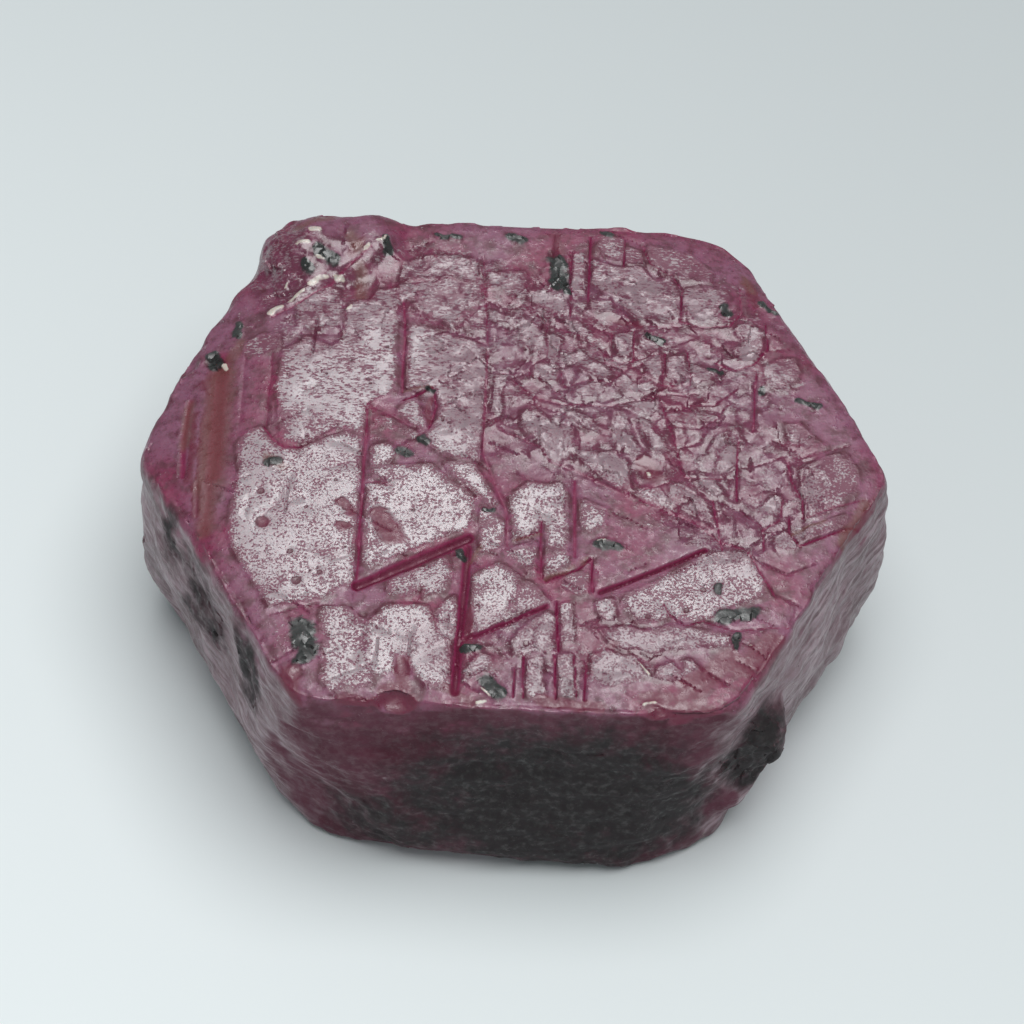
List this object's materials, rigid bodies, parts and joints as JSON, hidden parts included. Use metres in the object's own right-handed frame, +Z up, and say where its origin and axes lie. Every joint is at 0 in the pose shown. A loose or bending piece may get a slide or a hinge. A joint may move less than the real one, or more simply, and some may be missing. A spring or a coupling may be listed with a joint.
{
  "type": "raw ruby crystal",
  "caption": "Rough six-sided tabular corundum crystal with a stepped and furrowed upper face, blunted prism edges, rim lumps and a flat resting face.",
  "frame": {"origin": "centre of the outer box in X and Y, on the flat resting face", "axes": "+Z up, out of the furrowed upper face; +X to the right of the picture, across the crystal's widest corners; -Y towards the wide front prism face"},
  "size_m": [0.0418, 0.0362, 0.0168],
  "materials": {
    "ruby": "semi-gloss natural crystal, with dark green-black matrix patches"
  },
  "bodies": {
    "root": {"ruby_crystal": "ruby"}
  },
  "joints": []
}
